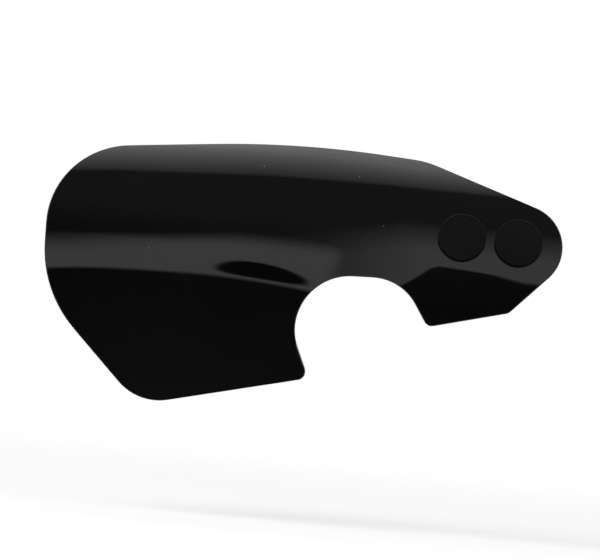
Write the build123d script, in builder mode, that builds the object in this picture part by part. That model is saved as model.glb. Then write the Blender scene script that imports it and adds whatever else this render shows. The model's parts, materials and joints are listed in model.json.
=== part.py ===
"""Motorcycle hand guard for one grip: a bowed acrylic shield held on a folded steel bracket.

Millimetres, +Z up. The origin is the centre of the mirror-stem bore on the underside of the
bracket's tongue, the face that sits on the lever perch. +Z runs along the bore, -Y is the front
that meets the wind, and -X is outboard, towards the end of the grip.
"""

import os
from math import cos, radians, sin, tan

from build123d import *

# Bracket: folded steel plate, with a tongue on the lever perch and a leaning flange
plate_thickness = 3.0
stem_bore_diameter = 11.0
stem_to_fold = 35.0
tongue_outer_base = 2.5
tongue_inner_base = 30.5
tongue_tip_radius = 9.5
tongue_tip_offset = 1.5
fold_inner_radius = 2.0
flange_lean = 15.0
flange_depth = 23.5
flange_lobe_radius = 11.0
flange_blend_radius = 1.5

# Rubber mounts: two push-in mouldings that carry the shield on the flange
mount_spacing = 30.0
fold_to_mount = 17.0
neck_diameter = 12.0
rim_diameter = 25.0
rim_thickness = 3.0
hub_diameter = 17.2
cap_diameter = 25.4
cap_height = 4.0
cap_bevel = 1.1
lip_diameter = 16.0
lip_tip_diameter = 10.5
lip_length = 4.5
neck_clearance = 0.1
hub_clearance = 0.15
groove_clearance = 0.12

# Shield: one acrylic sheet, bowed to a tighter radius above its crown than below it
sheet_thickness = 3.2
upper_bow_radius = 68.0
lower_bow_radius = 160.0
sheet_edge_bevel = 0.5

# Shield outline from the front: corners before rounding, with reaches from the stem axis, outboard
# unless named inboard, and heights and drops from the line of the mount holes
crest_reach = 90.0
crest_height = 43.0
crest_round = 550.0
paddle_top_reach = 220.5
paddle_top_height = 27.5
paddle_top_round = 44.0
paddle_end_reach = 218.0
paddle_end_drop = 49.5
paddle_end_round = 65.0
paddle_bottom_reach = 162.0
paddle_bottom_drop = 105.0
paddle_bottom_round = 28.0
paddle_foot_reach = 73.5
paddle_foot_drop = 82.0
paddle_foot_round = 4.5
arch_outer_reach = 98.0
arch_outer_drop = 27.5
arch_outer_round = 29.0
arch_inner_reach = 29.5
arch_inner_drop = 24.5
arch_inner_round = 27.0
leg_outer_reach = 13.5
leg_outer_drop = 48.5
leg_outer_round = 4.5
leg_inboard_reach = 28.5
leg_inboard_drop = 37.0
leg_inboard_round = 6.0
nose_inboard_reach = 71.5
nose_height = 9.5
nose_round = 22.5
shoulder_reach = 22.0
shoulder_height = 39.5
shoulder_round = 50.0

# Lock washer: internal teeth, each twisted out of the plane of the ring
washer_outer_diameter = 17.4
washer_ring_width = 1.3
washer_thickness = 1.0
tooth_count = 10
tooth_tip_diameter = 10.7
tooth_stub_length = 0.4
tooth_root_width = 2.9
tooth_tip_width = 2.1
tooth_twist = 20.0

# Fold: the flange leans back, so the plate turns through less than a right angle
forward = Vector(0, -cos(radians(flange_lean)), sin(radians(flange_lean)))
downward = Vector(0, -sin(radians(flange_lean)), -cos(radians(flange_lean)))
fold_angle = 90 - flange_lean
fold_outer_radius = fold_inner_radius + plate_thickness
fold_setback = fold_outer_radius * tan(radians(fold_angle / 2))
fold_end = fold_setback - stem_to_fold
fold_ridge = Vector(0, -stem_to_fold, plate_thickness)

# Mounts: both stand on the front of the flange and pass through the sheet
mount_reaches = {"rubber_mount_outer": 0.0, "rubber_mount_inner": mount_spacing}
mount_centres = [(reach, -fold_to_mount) for reach in mount_reaches.values()]
mount_seat = fold_ridge + downward * fold_to_mount
sheet_front = mount_seat + forward * (rim_thickness + sheet_thickness)
groove_middle = rim_thickness + sheet_thickness / 2
cap_top = rim_thickness + sheet_thickness + cap_height

# Bow: two arcs that meet at the crown, the line of the shield that faces straight ahead
upper_axis = sheet_front - forward * upper_bow_radius
crown = upper_axis - Vector(0, upper_bow_radius, 0)
lower_axis = crown + Vector(0, lower_bow_radius, 0)

flange_plane = Plane(origin=fold_ridge, x_dir=(1, 0, 0), z_dir=forward)
outline_plane = Plane(origin=(0, 0, sheet_front.Z), x_dir=(1, 0, 0), z_dir=(0, -1, 0))


def draw_bow(outside, inside):
    """Draw the section of the bow between surfaces outside and inside the front of the sheet."""
    ends = []
    for axis, radius, turn in ((upper_axis, upper_bow_radius, -90), (lower_axis, lower_bow_radius, 90)):
        front = CenterArc((axis.Y, axis.Z), radius + outside, 180, turn)
        back = CenterArc((axis.Y, axis.Z), radius - inside, 180, turn)
        ends.append((front @ 1, back @ 1))
    for front_end, back_end in ends:
        Line(front_end, back_end)


# Bracket: tongue, fold and flange are one plate
with BuildPart() as bracket:
    with BuildSketch():
        with BuildLine():
            Line((-tongue_outer_base, fold_end), (tongue_inner_base, fold_end))
            CenterArc((tongue_tip_offset, 0), tongue_tip_radius, 0, 360)
        make_hull()
        Circle(stem_bore_diameter / 2, mode=Mode.SUBTRACT)
    extrude(amount=plate_thickness)
    with BuildSketch(Plane.YZ.offset(-tongue_outer_base)):
        with BuildLine():
            fold_centre = (fold_end, plate_thickness - fold_outer_radius)
            outer_bend = CenterArc(fold_centre, fold_outer_radius, 90, fold_angle)
            inner_bend = CenterArc(fold_centre, fold_inner_radius, 90, fold_angle)
            Line(outer_bend @ 0, inner_bend @ 0)
            Line(outer_bend @ 1, inner_bend @ 1)
        make_face()
    extrude(amount=tongue_outer_base + tongue_inner_base)
    with BuildSketch(flange_plane) as flange_outline:
        with BuildLine():
            Polyline(
                (-tongue_outer_base, -fold_setback),
                (tongue_inner_base, -fold_setback),
                (tongue_inner_base, -flange_depth),
                (-tongue_outer_base, -flange_depth),
                close=True,
            )
        make_face()
        with Locations(mount_centres):
            Circle(flange_lobe_radius)
        corners = flange_outline.vertices().sort_by(Axis.Y)
        fillet(corners[:2] + corners[-4:-2], radius=flange_blend_radius)
        with Locations(mount_centres):
            Circle(neck_diameter / 2 + neck_clearance, mode=Mode.SUBTRACT)
    extrude(amount=-plate_thickness)

# Shield: its outline is trimmed out of the bow seen from the front. The bow's front faces then get
# their thickness square to themselves, as a flat blank has before it is bowed.
with BuildPart() as trimmed_bow:
    with BuildSketch(Plane.YZ):
        with BuildLine():
            draw_bow(0, sheet_thickness)
        make_face()
    extrude(amount=paddle_top_reach + nose_inboard_reach, both=True)
    with BuildSketch(outline_plane):
        with BuildLine():
            FilletPolyline(
                (-crest_reach, crest_height),
                (-paddle_top_reach, paddle_top_height),
                (-paddle_end_reach, -paddle_end_drop),
                (-paddle_bottom_reach, -paddle_bottom_drop),
                (-paddle_foot_reach, -paddle_foot_drop),
                (-arch_outer_reach, -arch_outer_drop),
                (-arch_inner_reach, -arch_inner_drop),
                (-leg_outer_reach, -leg_outer_drop),
                (leg_inboard_reach, -leg_inboard_drop),
                (nose_inboard_reach, nose_height),
                (-shoulder_reach, shoulder_height),
                radius=(
                    crest_round,
                    paddle_top_round,
                    paddle_end_round,
                    paddle_bottom_round,
                    paddle_foot_round,
                    arch_outer_round,
                    arch_inner_round,
                    leg_outer_round,
                    leg_inboard_round,
                    nose_round,
                    shoulder_round,
                ),
                close=True,
            )
        make_face()
    extrude(amount=lower_bow_radius, both=True, mode=Mode.INTERSECT)

bowed_faces = trimmed_bow.faces().filter_by(
    lambda face: face.geom_type == GeomType.CYLINDER
    and abs(face.axis_of_rotation.direction.X) > abs(face.axis_of_rotation.direction.Y)
    and face.normal_at().Y < 0
)

with BuildPart() as shield:
    thicken(bowed_faces, amount=-sheet_thickness)
    sheet_faces = shield.faces().filter_by(GeomType.CYLINDER)
    chamfer(sheet_faces.edges().filter_by(Axis.X, reverse=True), length=sheet_edge_bevel)
    with BuildSketch(flange_plane):
        with Locations(mount_centres):
            Circle(hub_diameter / 2 + hub_clearance)
    extrude(amount=cap_top, mode=Mode.SUBTRACT)

# Rubber mounts: one moulding each, with a lip behind the flange, and a rim and a cap that grip the
# sheet around the hub along its bow
rubber_mounts = {}
for name, reach in mount_reaches.items():
    seat = mount_seat + Vector(reach, 0, 0)
    with BuildPart() as groove:
        with BuildSketch(Plane.YZ.offset(reach)):
            with BuildLine():
                draw_bow(groove_clearance, sheet_thickness + groove_clearance)
            make_face()
        extrude(amount=max(cap_diameter, rim_diameter), both=True)
        with BuildSketch(Plane(origin=seat, x_dir=(1, 0, 0), z_dir=forward)):
            Circle(hub_diameter / 2)
        extrude(amount=cap_top, mode=Mode.SUBTRACT)
    with BuildPart() as rubber_mounts[name]:
        with BuildSketch(Plane(origin=seat, x_dir=(1, 0, 0), z_dir=downward)):
            with BuildLine():
                Polyline(
                    (0, groove_middle),
                    (0, -plate_thickness - lip_length),
                    (lip_tip_diameter / 2, -plate_thickness - lip_length),
                    (lip_diameter / 2, -plate_thickness),
                    (neck_diameter / 2, -plate_thickness),
                    (neck_diameter / 2, 0),
                    (rim_diameter / 2, 0),
                    (rim_diameter / 2, groove_middle),
                    close=True,
                )
            make_face()
            with BuildLine():
                Polyline(
                    (0, groove_middle),
                    (cap_diameter / 2, groove_middle),
                    (cap_diameter / 2, cap_top - cap_bevel),
                    (cap_diameter / 2 - cap_bevel, cap_top),
                    (0, cap_top),
                    close=True,
                )
            make_face()
        revolve(axis=Axis(seat, forward))
        add(groove.part, mode=Mode.SUBTRACT)

# Lock washer: a flat ring with short stubs, each with a tooth that is twisted about its own radius.
# The lowest corner of every tooth bites on the tongue.
washer_inner_radius = washer_outer_diameter / 2 - washer_ring_width
stub_end = washer_inner_radius - tooth_stub_length
tooth_drop = tooth_tip_width / 2 * sin(radians(tooth_twist)) + washer_thickness / 2 * cos(radians(tooth_twist))
washer_middle = plate_thickness + tooth_drop
root_plane = Plane(origin=(stub_end, 0, washer_middle), x_dir=(0, 1, 0), z_dir=(-1, 0, 0))

with BuildPart() as tooth:
    with BuildSketch(root_plane):
        Rectangle(tooth_root_width, washer_thickness)
    with BuildSketch(root_plane.offset(stub_end - tooth_tip_diameter / 2)):
        Rectangle(tooth_tip_width, washer_thickness, rotation=tooth_twist)
    loft()

with BuildPart() as lock_washer:
    with BuildSketch(Plane.XY.offset(washer_middle - washer_thickness / 2)):
        Circle(washer_outer_diameter / 2)
        Circle(washer_inner_radius, mode=Mode.SUBTRACT)
        with PolarLocations(stub_end, tooth_count):
            Rectangle(
                tooth_stub_length + washer_ring_width / 2,
                tooth_root_width,
                align=(Align.MIN, Align.CENTER),
            )
    extrude(amount=washer_thickness)
    with PolarLocations(0, tooth_count):
        add(tooth.part)

# One file for each piece
pieces = {"shield": shield, "bracket": bracket, "lock_washer": lock_washer} | rubber_mounts
os.makedirs("parts", exist_ok=True)
for name, piece in pieces.items():
    piece.part.label = name
    export_step(piece.part, f"parts/{name}.step")
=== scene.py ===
"""Studio scene for the motorcycle hand guard: finishes for its pieces, the stage, the light and the camera.

Metres, in the part's own frame: +Z up, -Y to the front of the shield, -X towards the end of the grip.
"""

import json
from math import cos, pi, radians, sin

import bmesh
import bpy
from mathutils import Matrix, Vector

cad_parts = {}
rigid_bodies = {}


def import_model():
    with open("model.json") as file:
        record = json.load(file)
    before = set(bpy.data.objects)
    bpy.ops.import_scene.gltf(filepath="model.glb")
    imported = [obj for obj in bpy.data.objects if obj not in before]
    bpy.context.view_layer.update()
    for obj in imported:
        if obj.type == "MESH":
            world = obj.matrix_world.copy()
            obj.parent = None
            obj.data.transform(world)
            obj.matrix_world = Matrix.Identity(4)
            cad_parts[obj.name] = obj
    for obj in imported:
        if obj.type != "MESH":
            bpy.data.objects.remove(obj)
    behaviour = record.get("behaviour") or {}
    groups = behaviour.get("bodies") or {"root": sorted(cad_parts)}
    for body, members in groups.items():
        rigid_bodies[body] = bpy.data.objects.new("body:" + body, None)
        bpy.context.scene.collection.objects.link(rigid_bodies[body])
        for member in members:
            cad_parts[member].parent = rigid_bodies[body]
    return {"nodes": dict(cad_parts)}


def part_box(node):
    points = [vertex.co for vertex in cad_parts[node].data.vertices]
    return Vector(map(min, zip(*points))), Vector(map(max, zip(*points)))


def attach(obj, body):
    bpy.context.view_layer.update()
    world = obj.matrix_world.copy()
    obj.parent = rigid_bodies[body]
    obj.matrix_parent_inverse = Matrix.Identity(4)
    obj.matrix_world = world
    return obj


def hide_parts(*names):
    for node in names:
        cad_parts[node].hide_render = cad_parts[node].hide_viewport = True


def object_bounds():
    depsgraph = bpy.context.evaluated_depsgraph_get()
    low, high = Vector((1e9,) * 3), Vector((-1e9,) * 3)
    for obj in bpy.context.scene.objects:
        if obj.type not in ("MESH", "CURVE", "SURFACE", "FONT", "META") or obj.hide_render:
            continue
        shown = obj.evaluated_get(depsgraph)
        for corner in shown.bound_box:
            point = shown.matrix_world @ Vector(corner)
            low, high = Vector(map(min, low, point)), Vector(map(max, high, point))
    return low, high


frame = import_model()
cad_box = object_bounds()
cad_nodes = frame["nodes"]
cad_middle = (cad_box[0] + cad_box[1]) / 2

# Rounded edges: the radius that a piece's sharp outer edges get, and the steps of the rounding
MOULDED_EDGE = (0.00042, 3)
PLATE_EDGE = (0.0003, 2)
STAMPED_EDGE = (0.00007, 1)

# Meshes: the angle that counts as sharp, and what counts as one plane and as one point
SHARP_EDGE = radians(35)
SAME_PLANE = radians(0.4)
SAME_POINT = 0.000002

# Caps of the rubber mounts: they face along the leaning flange, and their tops are crowned in rings
FLANGE_LEAN = radians(15)
CAP_FACING = Vector((0, -cos(FLANGE_LEAN), sin(FLANGE_LEAN)))
CROWN_RING = 0.0024
CROWN_RISES = (0.00034, 0.00024, 0.00015, 0.00007)

# Bow of the shield: the height of its crown, the radii of its front above and below the crown, and how
# closely a facet has to follow the bow to count as one of its faces
BOW_CROWN_HEIGHT = -0.02942
UPPER_BOW_RADIUS = 0.068
LOWER_BOW_RADIUS = 0.16
ALONG_BOW = cos(radians(12))

# Noise: the middle of its values, and the span that most of them lie in. A share runs from none to all.
NOISE_MIDDLE = 0.5
NOISE_SPAN = (0.3, 0.7)
SHARE = (0.0, 1.0)

# Skin grain: how much finer and lower its second layer is, and the scale of its slow unevenness
FINE_GRAIN_RATIO = 3.1
FINE_GRAIN_SHARE = 0.4
UNEVENNESS_SCALE = 55.0

# Specks and scratches: how rare a speck is, and the scale and the rarity of a scratch's runs
SPECK_RARITY = 0.72
RUN_SCALE = 27.0
RUN_RARITY = 0.63

# Black acrylic: its tone, the smears in its gloss, the wave from bending, its specks and its scratches
ACRYLIC_IOR = 1.49
ACRYLIC_BLACKS = ((0.0010, 0.0010, 0.0011, 1), (0.0017, 0.0016, 0.0016, 1))
ACRYLIC_TONE_SCALE = 14.0
SMEAR_SCALE = 30.0
SMEAR_SPAN = (0.45, 0.75)
SMEAR_ROUGHNESS = (0.006, 0.022)
WAVE_SCALE = 9.0
WAVE_BUMP = (1.0, 0.0004)
SPECK_SCALE = 75.0
SPECK_SIZE = 0.028
SPECK_COLOUR = (0.09, 0.09, 0.086, 1)
SPECK_ROUGHNESS = 0.4
SCRATCH_SWEEP = 21.0
SCRATCH_WIDTH = 0.0011
SCRATCH_COLOUR = (0.0026, 0.0026, 0.0026, 1)
SCRATCH_ROUGHNESS = 0.14

# Black powder coat. A bump here and below is its strength and its depth.
COAT_SPECULAR = 0.2
COAT_GRAIN_SCALE = 1500.0
COAT_BLACKS = ((0.0042, 0.0042, 0.0044, 1), (0.0068, 0.0068, 0.0070, 1))
COAT_ROUGHNESS = (0.36, 0.48)
COAT_BUMP = (0.35, 0.0002)

# Black rubber
RUBBER_SPECULAR = 0.15
RUBBER_GRAIN_SCALE = 2200.0
RUBBER_BLACKS = ((0.0018, 0.0018, 0.0019, 1), (0.0030, 0.0030, 0.0029, 1))
RUBBER_ROUGHNESS = (0.58, 0.74)
RUBBER_BUMP = (0.5, 0.0002)

# Zinc plate: its grain, and a grey cast that changes its colour and gloss from place to place
ZINC_GRAIN_SCALE = 2600.0
ZINC_BUMP = (0.25, 0.0001)
ZINC_CAST_SCALE = 380.0
ZINC_CAST_SPAN = (0.35, 0.65)
ZINC_GREYS = ((0.24, 0.245, 0.25, 1), (0.36, 0.36, 0.355, 1))
ZINC_ROUGHNESS = (0.38, 0.24)

# Stage: a floor below the guard, which the camera sees fade from a pale shadow to white
FLOOR_DROP = 0.06
FLOOR_REACH = 6.0
FLOOR_GREY = (0.86, 0.86, 0.86, 1)
FLOOR_ROUGHNESS = 0.9
SHADOW_REACH = 0.3
SHADOW_WHITENESS = 0.5
WHITE_REACH = 1.3

# Surroundings: plain white for the camera, and this level of it where it lights the guard and the floor
WHITE = (1, 1, 1, 1)
DOME_LEVEL = 0.8

# Surroundings in the gloss go by a ray's turn, in degrees from straight ahead (0) over the top (90) to
# straight behind (180), and by its lean, the sideways part of its direction. An edge is its turn at no
# lean, and its slope and curve with the lean, which hold between these limits.
HALF_TURN = 180
LEAN_LIMITS = (-0.043, 0.02)
OUTBOARD_LEANS = (LEAN_LIMITS[0], 0.0)

# Room in the gloss, levels by turn: dim in front and overhead, and pale below and behind
ROOM = (
    (-180, 0.95), (-135, 0.55), (-100, 0.9), (-75, 0.08), (-14, 0.025),
    (10, 0.05), (32, 0.12), (120, 0.12), (150, 0.35), (180, 0.95),
)

# Roof light: its edge and first level, the slow rise past the edge and the turns that the rise takes, the
# turns where the light ends behind, how much stronger the rise gets outboard, and the leans where that ends
ROOF_EDGE = (76.5, 179.0, -7083.0)
ROOF_EDGE_FADE = (-1.5, 1.5)
ROOF_FIRST_LEVEL = 0.27
ROOF_RISE = 1.12
ROOF_RISE_LEANS = (-0.014, 0.017)
ROOF_RISE_TURNS = (36.0, 25.0)
ROOF_END_TURNS = (115.0, 155.0)
ROOF_OUTBOARD_GAIN = 2.2
ROOF_OUTBOARD_END = (-0.16, -0.06)

# Front strip: its level, its soft upper edge, and the leans where it ends inboard
STRIP_LEVEL = 0.93
STRIP_TOP_LEANS = (-0.043, -0.01)
STRIP_TOPS = (-3.4, 10.5)
STRIP_TOP_FADES = (5.0, 9.5)
STRIP_END_LEANS = (0.0013, 0.0079)

# Side glow: its upper edge with a limit, how far below that it is full, and its levels between two leans
GLOW_TOP = (28.0, 1003.0, 0.0)
GLOW_TOP_LIMIT = 42.0
GLOW_FADE = 26.0
GLOW_LEANS = (-0.0066, 0.02)
GLOW_LEVELS = (0.14, 0.8)

# Lower edge of the strip and the glow. Inboard it rises to a peak and then falls towards the nose.
FRONT_BOTTOM = (-13.0, -264.0, -6900.0)
FRONT_BOTTOM_FADE = (-0.7, 0.7)
INBOARD_LEANS = (0.0105, 0.0223, 0.0419)
INBOARD_PEAK = 3.2
INBOARD_END = -2.0

# Dark flag in front of the strip: an oval on a bent middle line, by its lean and half sizes, and the span
# of its edge in squares of those sizes
FLAG_LINE = (-10.3, -580.0, -24000.0)
FLAG_LEAN = -0.0088
FLAG_HALF_LENGTH = 0.0083
FLAG_HALF_HEIGHT = 3.15
FLAG_EDGE = (0.8, 1.2)

# Softboxes
SOFTBOX_AIM = (-0.08, 0, -0.04)
KEY_PLACE = (-0.9, -1.5, 1.1)
KEY_SIZE = 0.8
KEY_POWER = 24
FILL_PLACE = (1.2, -1.2, 0.5)
FILL_SIZE = 1.2
FILL_POWER = 6

# Camera: level with the middle of the shield, rolled as the guard lies in its picture
PICTURE_WIDTH = 0.316
PICTURE_ROLL = radians(5.7)
LENS_IN_MM = 350
SENSOR_IN_MM = 36
CAMERA_NEAR = 0.01
CAMERA_FAR = 50


def select_only(piece):
    """Make one object the active and only selected one."""
    bpy.ops.object.select_all(action="DESELECT")
    piece.select_set(True)
    bpy.context.view_layer.objects.active = piece


def copy_solid(node_name):
    """Copy a solid and merge its loose triangles. The copy is left in edit mode."""
    select_only(cad_nodes[node_name])
    bpy.ops.object.duplicate()
    piece = bpy.context.view_layer.objects.active
    piece.name = node_name + "_finished"
    bpy.ops.object.parent_clear(type="CLEAR")
    bpy.ops.object.mode_set(mode="EDIT")
    bpy.ops.mesh.customdata_custom_splitnormals_clear()
    bpy.ops.mesh.select_all(action="SELECT")
    bpy.ops.mesh.remove_doubles(threshold=SAME_POINT)
    return piece


def shade_smooth():
    """Leave edit mode and shade the active piece smoothly between its sharp edges."""
    bpy.ops.object.mode_set(mode="OBJECT")
    bpy.ops.object.shade_smooth_by_angle(angle=SHARP_EDGE)


def stand_in(piece, node_name):
    """Let a finished copy stand for a solid on the part's one body."""
    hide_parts(node_name)
    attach(piece, "root")


def finish_bow(node_name):
    """Shade both faces of the bowed sheet as true arcs, on a copy that stands for the solid."""
    piece = copy_solid(node_name)
    shade_smooth()
    mesh = piece.data
    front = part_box(node_name)[0].y
    normals = [corner.vector.copy() for corner in mesh.corner_normals]
    for face in mesh.polygons:
        for index in face.loop_indices:
            place = mesh.vertices[mesh.loops[index].vertex_index].co
            radius = UPPER_BOW_RADIUS if place.z > BOW_CROWN_HEIGHT else LOWER_BOW_RADIUS
            outwards = Vector((0, place.y - front - radius, place.z - BOW_CROWN_HEIGHT)).normalized()
            facing = face.normal.dot(outwards)
            if abs(facing) > ALONG_BOW:
                normals[index] = outwards if facing > 0 else -outwards
    mesh.normals_split_custom_set(normals)
    stand_in(piece, node_name)
    return piece


def crown_cap(piece):
    """Turn the flat top of a cap into a low crown. Its middle keeps its height."""
    bpy.ops.mesh.select_mode(type="FACE")
    bpy.ops.mesh.select_all(action="DESELECT")
    shape = bmesh.from_edit_mesh(piece.data)
    top = max(shape.faces, key=lambda face: face.calc_center_median().dot(CAP_FACING))
    top.select_set(True)
    bmesh.update_edit_mesh(piece.data)
    bpy.ops.transform.translate(value=-sum(CROWN_RISES) * CAP_FACING)
    for rise in CROWN_RISES:
        bpy.ops.mesh.inset(thickness=CROWN_RING, depth=rise)


def round_edges(piece, radius, steps):
    """Round the sharp outer edges of a piece in edit mode."""
    bpy.ops.mesh.select_mode(type="EDGE")
    bpy.ops.mesh.select_all(action="DESELECT")
    shape = bmesh.from_edit_mesh(piece.data)
    for edge in shape.edges:
        if edge.is_manifold and edge.is_convex and edge.calc_face_angle() > SHARP_EDGE:
            edge.select_set(True)
    bmesh.update_edit_mesh(piece.data)
    bpy.ops.mesh.bevel(offset=radius, segments=steps, affect="EDGES", clamp_overlap=True)


def finish_edges(node_name, rounding, crowned=False):
    """Merge a solid's facets and round its sharp outer edges, on a copy that stands for the solid."""
    piece = copy_solid(node_name)
    bpy.ops.mesh.dissolve_limited(angle_limit=SAME_PLANE)
    if crowned:
        crown_cap(piece)
    radius, steps = rounding
    round_edges(piece, radius, steps)
    shade_smooth()
    piece.modifiers.new("flat_faces_stay_flat", "WEIGHTED_NORMAL").keep_sharp = True
    bpy.ops.object.modifier_apply(modifier="flat_faces_stay_flat")
    stand_in(piece, node_name)
    return piece


class Nodes:
    """Short calls for building one node tree. An input takes a link or a plain value."""

    def __init__(self, tree):
        self.tree = tree

    def feed(self, socket, value):
        """Give an input its link or value."""
        if isinstance(value, bpy.types.NodeSocket):
            self.tree.links.new(value, socket)
        else:
            socket.default_value = value

    def add(self, kind, inputs=None, **settings):
        """Add a node with its settings and inputs."""
        node = self.tree.nodes.new(kind)
        for name, value in settings.items():
            setattr(node, name, value)
        for name, value in (inputs or {}).items():
            self.feed(node.inputs[name], value)
        return node

    def group(self, tree, inputs):
        """Add a node group and give its outputs."""
        return self.add("ShaderNodeGroup", inputs, node_tree=tree).outputs

    def noise(self, place, scale, detail=3.0, roughness=0.5):
        """Add a noise texture and give its value."""
        inputs = {"Vector": place, "Scale": scale, "Detail": detail, "Roughness": roughness}
        return self.add("ShaderNodeTexNoise", inputs).outputs["Fac"]

    def spread(self, value, source, target, soft=False):
        """Map one range of values on another, in a straight or a soft run."""
        inputs = {"Value": value, "From Min": source[0], "From Max": source[1]}
        inputs.update({"To Min": target[0], "To Max": target[1]})
        run = "SMOOTHSTEP" if soft else "LINEAR"
        return self.add("ShaderNodeMapRange", inputs, interpolation_type=run).outputs["Result"]

    def blend(self, share, first, second):
        """Mix two colours. This node's inputs go by number, because their names repeat."""
        return self.add("ShaderNodeMix", {0: share, 6: first, 7: second}, data_type="RGBA").outputs[2]

    def math(self, operation, *values):
        """Work out one value from others."""
        return self.add("ShaderNodeMath", dict(enumerate(values)), operation=operation).outputs[0]


def make_group(name, inputs, outputs):
    """Start a shader node group with a place, and with named value inputs and outputs."""
    tree = bpy.data.node_groups.new(name, "ShaderNodeTree")
    tree.interface.new_socket("Place", in_out="INPUT", socket_type="NodeSocketVector")
    for socket_name in inputs:
        tree.interface.new_socket(socket_name, in_out="INPUT", socket_type="NodeSocketFloat")
    for socket_name in outputs:
        tree.interface.new_socket(socket_name, in_out="OUTPUT", socket_type="NodeSocketFloat")
    nodes = Nodes(tree)
    return nodes, nodes.add("NodeGroupInput").outputs, nodes.add("NodeGroupOutput").inputs


def make_grain_group():
    """Fine grain of a moulded or sprayed skin: a height, and a slow unevenness in its gloss."""
    nodes, given, result = make_group("skin_grain", ["Grain Scale"], ["Height", "Unevenness"])
    coarse = nodes.noise(given["Place"], given["Grain Scale"], detail=2.0)
    fine_scale = nodes.math("MULTIPLY", given["Grain Scale"], FINE_GRAIN_RATIO)
    fine = nodes.noise(given["Place"], fine_scale, detail=1.0)
    height = nodes.math("ADD", coarse, nodes.math("MULTIPLY", fine, FINE_GRAIN_SHARE))
    uneven = nodes.noise(given["Place"], UNEVENNESS_SCALE, detail=4.0, roughness=0.6)
    nodes.feed(result["Height"], height)
    nodes.feed(result["Unevenness"], nodes.spread(uneven, NOISE_SPAN, SHARE))
    return nodes.tree


def make_dust_group():
    """Scattered specks of dust: a mask that is 1 on a speck."""
    nodes, given, result = make_group("dust_specks", ["Speck Scale", "Speck Size"], ["Mask"])
    inputs = {"Vector": given["Place"], "Scale": given["Speck Scale"], "Randomness": 1.0}
    cells = nodes.add("ShaderNodeTexVoronoi", inputs, feature="F1").outputs
    near = nodes.math("LESS_THAN", cells["Distance"], given["Speck Size"])
    chance = nodes.add("ShaderNodeSeparateColor", {"Color": cells["Color"]}).outputs["Red"]
    rare = nodes.math("GREATER_THAN", chance, SPECK_RARITY)
    nodes.feed(result["Mask"], nodes.math("MULTIPLY", near, rare))
    return nodes.tree


def make_scratch_group():
    """Hair scratches: a mask that is 1 on thin curved lines, broken into short runs."""
    nodes, given, result = make_group("hair_scratches", ["Sweep", "Width"], ["Mask"])
    sweep = nodes.noise(given["Place"], given["Sweep"], detail=0.0)
    off_line = nodes.math("ABSOLUTE", nodes.math("SUBTRACT", sweep, NOISE_MIDDLE))
    line = nodes.math("LESS_THAN", off_line, given["Width"])
    runs = nodes.noise(given["Place"], RUN_SCALE, detail=1.0)
    in_run = nodes.math("GREATER_THAN", runs, RUN_RARITY)
    nodes.feed(result["Mask"], nodes.math("MULTIPLY", line, in_run))
    return nodes.tree


def start_material(name):
    """Start a material: its nodes, its shader and the place on the piece."""
    material = bpy.data.materials.new(name)
    material.use_nodes = True
    nodes = Nodes(material.node_tree)
    shader = material.node_tree.nodes["Principled BSDF"]
    place = nodes.add("ShaderNodeTexCoord").outputs["Object"]
    return material, nodes, shader, place


def finish_shader(nodes, shader, colour, roughness, height, bump):
    """Link what varies to a shader: its colour, its roughness, and a height that shapes the shading."""
    strength, depth = bump
    relief = nodes.add("ShaderNodeBump", {"Height": height, "Strength": strength, "Distance": depth})
    nodes.feed(shader.inputs["Base Color"], colour)
    nodes.feed(shader.inputs["Roughness"], roughness)
    nodes.feed(shader.inputs["Normal"], relief.outputs["Normal"])


def make_acrylic(dust_group, scratch_group):
    """Polished black acrylic: deep gloss, a faint slow wave from bending, hair scratches and dust."""
    material, nodes, shader, place = start_material("black_acrylic")
    shader.inputs["IOR"].default_value = ACRYLIC_IOR
    specks = {"Place": place, "Speck Scale": SPECK_SCALE, "Speck Size": SPECK_SIZE}
    on_speck = nodes.group(dust_group, specks)["Mask"]
    scratches = {"Place": place, "Sweep": SCRATCH_SWEEP, "Width": SCRATCH_WIDTH}
    on_scratch = nodes.group(scratch_group, scratches)["Mask"]
    tone = nodes.spread(nodes.noise(place, ACRYLIC_TONE_SCALE), NOISE_SPAN, SHARE)
    black = nodes.blend(tone, *ACRYLIC_BLACKS)
    scratched = nodes.blend(on_scratch, black, SCRATCH_COLOUR)
    colour = nodes.blend(on_speck, scratched, SPECK_COLOUR)
    smears = nodes.noise(place, SMEAR_SCALE, detail=6.0, roughness=0.65)
    smeared = nodes.spread(smears, SMEAR_SPAN, SMEAR_ROUGHNESS)
    dulled = nodes.math("MULTIPLY", on_speck, SPECK_ROUGHNESS)
    scuffed = nodes.math("MULTIPLY", on_scratch, SCRATCH_ROUGHNESS)
    roughness = nodes.math("ADD", smeared, nodes.math("MAXIMUM", dulled, scuffed))
    wave = nodes.noise(place, WAVE_SCALE, detail=0.0)
    finish_shader(nodes, shader, colour, roughness, wave, WAVE_BUMP)
    return material


def make_black_skin(name, grain_group, grain_scale, specular, blacks, roughness, bump):
    """A grained black skin, whose colour and gloss vary slowly from place to place."""
    material, nodes, shader, place = start_material(name)
    shader.inputs["Specular IOR Level"].default_value = specular
    grain = nodes.group(grain_group, {"Place": place, "Grain Scale": grain_scale})
    colour = nodes.blend(grain["Unevenness"], *blacks)
    gloss = nodes.spread(grain["Unevenness"], SHARE, roughness)
    finish_shader(nodes, shader, colour, gloss, grain["Height"], bump)
    return material


def make_powder_coat(grain_group):
    """Satin black powder coat: a fine orange peel on steel plate."""
    finish = (COAT_GRAIN_SCALE, COAT_SPECULAR, COAT_BLACKS, COAT_ROUGHNESS, COAT_BUMP)
    return make_black_skin("black_powder_coat", grain_group, *finish)


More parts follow.
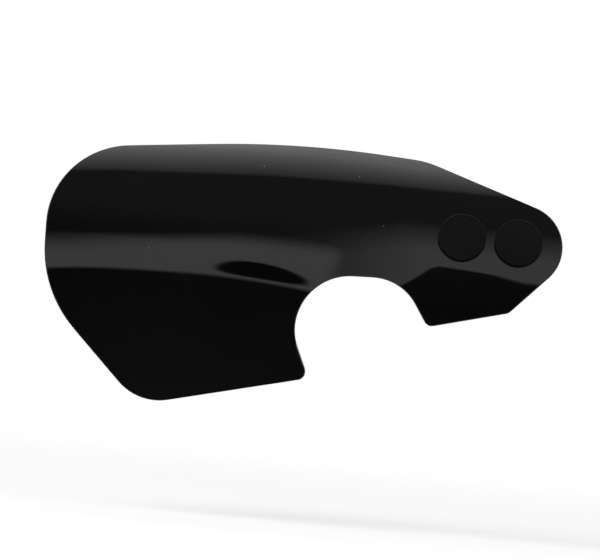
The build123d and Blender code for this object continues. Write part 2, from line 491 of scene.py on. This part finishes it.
def make_rubber(grain_group):
    """Matte black moulded rubber: a dull fine grain."""
    finish = (RUBBER_GRAIN_SCALE, RUBBER_SPECULAR, RUBBER_BLACKS, RUBBER_ROUGHNESS, RUBBER_BUMP)
    return make_black_skin("black_rubber", grain_group, *finish)


def make_zinc(grain_group):
    """Dull zinc plate on spring steel: tumbled, with a grey cast that varies from place to place."""
    material, nodes, shader, place = start_material("zinc_plate")
    shader.inputs["Metallic"].default_value = 1.0
    grain = nodes.group(grain_group, {"Place": place, "Grain Scale": ZINC_GRAIN_SCALE})
    cast = nodes.spread(nodes.noise(place, ZINC_CAST_SCALE, detail=4.0), ZINC_CAST_SPAN, SHARE)
    colour = nodes.blend(cast, *ZINC_GREYS)
    gloss = nodes.spread(cast, SHARE, ZINC_ROUGHNESS)
    finish_shader(nodes, shader, colour, gloss, grain["Height"], ZINC_BUMP)
    return material


def make_pale_floor():
    """Pale floor: the camera sees it fade from the guard's shadow to plain white."""
    material, nodes, shader, place = start_material("pale_floor")
    shader.inputs["Base Color"].default_value = FLOOR_GREY
    shader.inputs["Roughness"].default_value = FLOOR_ROUGHNESS
    shader.inputs["Specular IOR Level"].default_value = 0.0
    seen = nodes.add("ShaderNodeLightPath").outputs["Is Camera Ray"]
    white = nodes.add("ShaderNodeEmission", {"Strength": 1.0}).outputs["Emission"]
    away = nodes.add("ShaderNodeVectorMath", {"Vector": place}, operation="LENGTH").outputs["Value"]
    whiteness = nodes.spread(away, (SHADOW_REACH, WHITE_REACH), (SHADOW_WHITENESS, 1.0), soft=True)
    share = nodes.math("MULTIPLY", seen, whiteness)
    mix = nodes.add("ShaderNodeMixShader", {"Fac": share, 1: shader.outputs["BSDF"], 2: white})
    surface = material.node_tree.nodes["Material Output"].inputs["Surface"]
    nodes.feed(surface, mix.outputs["Shader"])
    return material


def dress(piece, material):
    """Give a piece one material."""
    piece.data.materials.clear()
    piece.data.materials.append(material)


def make_floor():
    """A plain floor below the guard. It keeps the guard's shadow and stays out of its gloss."""
    bpy.ops.object.select_all(action="DESELECT")
    place = (cad_middle.x, cad_middle.y, cad_box[0].z - FLOOR_DROP)
    bpy.ops.mesh.primitive_plane_add(size=2 * FLOOR_REACH, location=place)
    floor = bpy.context.view_layer.objects.active
    floor.name = "floor"
    floor.visible_glossy = False
    dress(floor, make_pale_floor())


class Sky(Nodes):
    """Nodes of the world, with the turn and the lean of a ray into it. The full lean has no limits."""

    def __init__(self, tree):
        super().__init__(tree)
        way = self.add("ShaderNodeTexCoord").outputs["Generated"]
        parts = self.add("ShaderNodeSeparateXYZ", {"Vector": way}).outputs
        ahead = self.math("MULTIPLY", parts["Y"], -1.0)
        self.turn = self.math("MULTIPLY", self.math("ARCTAN2", parts["Z"], ahead), HALF_TURN / pi)
        self.full_lean = parts["X"]
        self.lean = self.spread(self.full_lean, LEAN_LIMITS, LEAN_LIMITS)

    def turn_of(self, edge):
        """Give the turn of an edge at the ray's lean."""
        middle, slope, curve = edge
        bend = self.math("ADD", slope, self.math("MULTIPLY", self.lean, curve))
        return self.math("ADD", self.math("MULTIPLY", self.lean, bend), middle)

    def past(self, edge_turn):
        """Give how far the ray's turn is past an edge."""
        return self.math("SUBTRACT", self.turn, edge_turn)


def room_level(sky):
    """Give the level of the room, which goes by the turn alone."""
    around = sky.spread(sky.turn, (-HALF_TURN, HALF_TURN), SHARE)
    ramp = sky.add("ShaderNodeValToRGB", {"Fac": around})
    stops = ramp.color_ramp.elements
    while len(stops) < len(ROOM):
        stops.new(0.5)
    for stop, (turn, level) in zip(stops, ROOM):
        stop.position = (turn + HALF_TURN) / (2 * HALF_TURN)
        stop.color = (level, level, level, 1)
    return ramp.outputs["Color"]


def roof_level(sky):
    """Give the level of the roof light: a first level at its edge, and a slow rise past it."""
    past_edge = sky.past(sky.turn_of(ROOF_EDGE))
    first = sky.spread(past_edge, ROOF_EDGE_FADE, (0.0, ROOF_FIRST_LEVEL))
    rise_turn = sky.spread(sky.lean, ROOF_RISE_LEANS, ROOF_RISE_TURNS)
    rise = sky.spread(past_edge, (0.0, rise_turn), (0.0, ROOF_RISE))
    gain = sky.spread(sky.lean, OUTBOARD_LEANS, (ROOF_OUTBOARD_GAIN, 1.0))
    gain_end = sky.spread(sky.full_lean, ROOF_OUTBOARD_END, (1 / ROOF_OUTBOARD_GAIN, 1.0))
    stronger_rise = sky.math("MULTIPLY", rise, sky.math("MULTIPLY", gain, gain_end))
    not_behind = sky.spread(sky.turn, ROOF_END_TURNS, (1.0, 0.0))
    return sky.math("MULTIPLY", sky.math("ADD", first, stronger_rise), not_behind)


def strip_level(sky):
    """Give the level of the front strip above its lower edge."""
    past_top = sky.past(sky.spread(sky.lean, STRIP_TOP_LEANS, STRIP_TOPS, soft=True))
    fade = sky.spread(sky.lean, OUTBOARD_LEANS, STRIP_TOP_FADES)
    fade_start = sky.math("MULTIPLY", fade, -1.0)
    under_top = sky.spread(past_top, (fade_start, fade), (STRIP_LEVEL, 0.0), soft=True)
    not_inboard = sky.spread(sky.lean, STRIP_END_LEANS, (1.0, 0.0), soft=True)
    return sky.math("MULTIPLY", under_top, not_inboard)


def glow_level(sky):
    """Give the level of the side glow above its lower edge."""
    top = sky.math("MINIMUM", sky.turn_of(GLOW_TOP), GLOW_TOP_LIMIT)
    under_top = sky.spread(sky.past(top), (-GLOW_FADE, 0.0), (1.0, 0.0))
    return sky.math("MULTIPLY", under_top, sky.spread(sky.lean, GLOW_LEANS, GLOW_LEVELS))


def front_level(sky):
    """Give the level of the strip and the glow down to the lower edge that they share."""
    rise_start, peak, end = INBOARD_LEANS
    inboard_bottom = sky.spread(sky.full_lean, (peak, end), (INBOARD_PEAK, INBOARD_END))
    edges = (sky.turn_of(FRONT_BOTTOM), inboard_bottom)
    bottom = sky.spread(sky.full_lean, (rise_start, peak), edges)
    over_bottom = sky.spread(sky.past(bottom), FRONT_BOTTOM_FADE, SHARE)
    return sky.math("MULTIPLY", sky.math("MAXIMUM", strip_level(sky), glow_level(sky)), over_bottom)


def clear_of_flag(sky):
    """Give 0 within the oval of the dark flag and 1 all round it."""
    across = sky.math("DIVIDE", sky.math("SUBTRACT", sky.full_lean, FLAG_LEAN), FLAG_HALF_LENGTH)
    up = sky.math("DIVIDE", sky.past(sky.turn_of(FLAG_LINE)), FLAG_HALF_HEIGHT)
    squares = sky.math("ADD", sky.math("POWER", across, 2.0), sky.math("POWER", up, 2.0))
    return sky.spread(squares, FLAG_EDGE, SHARE)


def make_world():
    """A white studio. In the gloss it is a dim room with a roof light, a strip, a side glow and a flag."""
    world = bpy.data.worlds.new("studio")
    bpy.context.scene.world = world
    world.use_nodes = True
    sky = Sky(world.node_tree)
    lights = sky.math("ADD", roof_level(sky), front_level(sky))
    lit_room = sky.math("ADD", lights, room_level(sky))
    in_gloss = sky.math("MULTIPLY", lit_room, clear_of_flag(sky))
    ray = sky.add("ShaderNodeLightPath").outputs
    plain = sky.spread(ray["Is Camera Ray"], SHARE, (DOME_LEVEL, 1.0))
    level = sky.spread(ray["Is Glossy Ray"], SHARE, (plain, in_gloss))
    backdrop = world.node_tree.nodes["Background"].inputs
    backdrop["Color"].default_value = WHITE
    sky.feed(backdrop["Strength"], level)


def add_softbox(name, place, size, power):
    """Add a square softbox that lights the guard but doesn't show in its gloss."""
    bpy.ops.object.light_add(type="AREA", location=place)
    lamp = bpy.context.view_layer.objects.active
    lamp.name = name
    lamp.data.size = size
    lamp.data.energy = power
    lamp.rotation_euler = (Vector(SOFTBOX_AIM) - Vector(place)).to_track_quat("-Z", "Y").to_euler()
    lamp.visible_glossy = False
    lamp.visible_camera = False


def add_camera():
    """Look straight at the front of the shield, with the picture's roll."""
    distance = PICTURE_WIDTH * LENS_IN_MM / SENSOR_IN_MM
    bpy.ops.object.camera_add(location=(cad_middle.x, cad_box[0].y - distance, cad_middle.z))
    camera = bpy.context.view_layer.objects.active
    level = Matrix.Rotation(pi / 2, 3, "X")
    roll = Matrix.Rotation(PICTURE_ROLL, 3, "Z")
    camera.rotation_euler = (level @ roll).to_euler()
    camera.data.lens = LENS_IN_MM
    camera.data.sensor_width = SENSOR_IN_MM
    camera.data.clip_start = CAMERA_NEAR
    camera.data.clip_end = CAMERA_FAR
    bpy.context.scene.camera = camera


# Pieces
skin_grain = make_grain_group()
shield = finish_bow("shield")
dress(shield, make_acrylic(make_dust_group(), make_scratch_group()))
bracket = finish_edges("bracket", PLATE_EDGE)
dress(bracket, make_powder_coat(skin_grain))
rubber = make_rubber(skin_grain)
for mount_name in ("rubber_mount_outer", "rubber_mount_inner"):
    mount = finish_edges(mount_name, MOULDED_EDGE, crowned=True)
    dress(mount, rubber)
washer = finish_edges("lock_washer", STAMPED_EDGE)
dress(washer, make_zinc(skin_grain))

# Stage, light and camera
make_floor()
make_world()
add_softbox("key_softbox", KEY_PLACE, KEY_SIZE, KEY_POWER)
add_softbox("fill_softbox", FILL_PLACE, FILL_SIZE, FILL_POWER)
add_camera()
bpy.context.scene.view_settings.view_transform = "Standard"
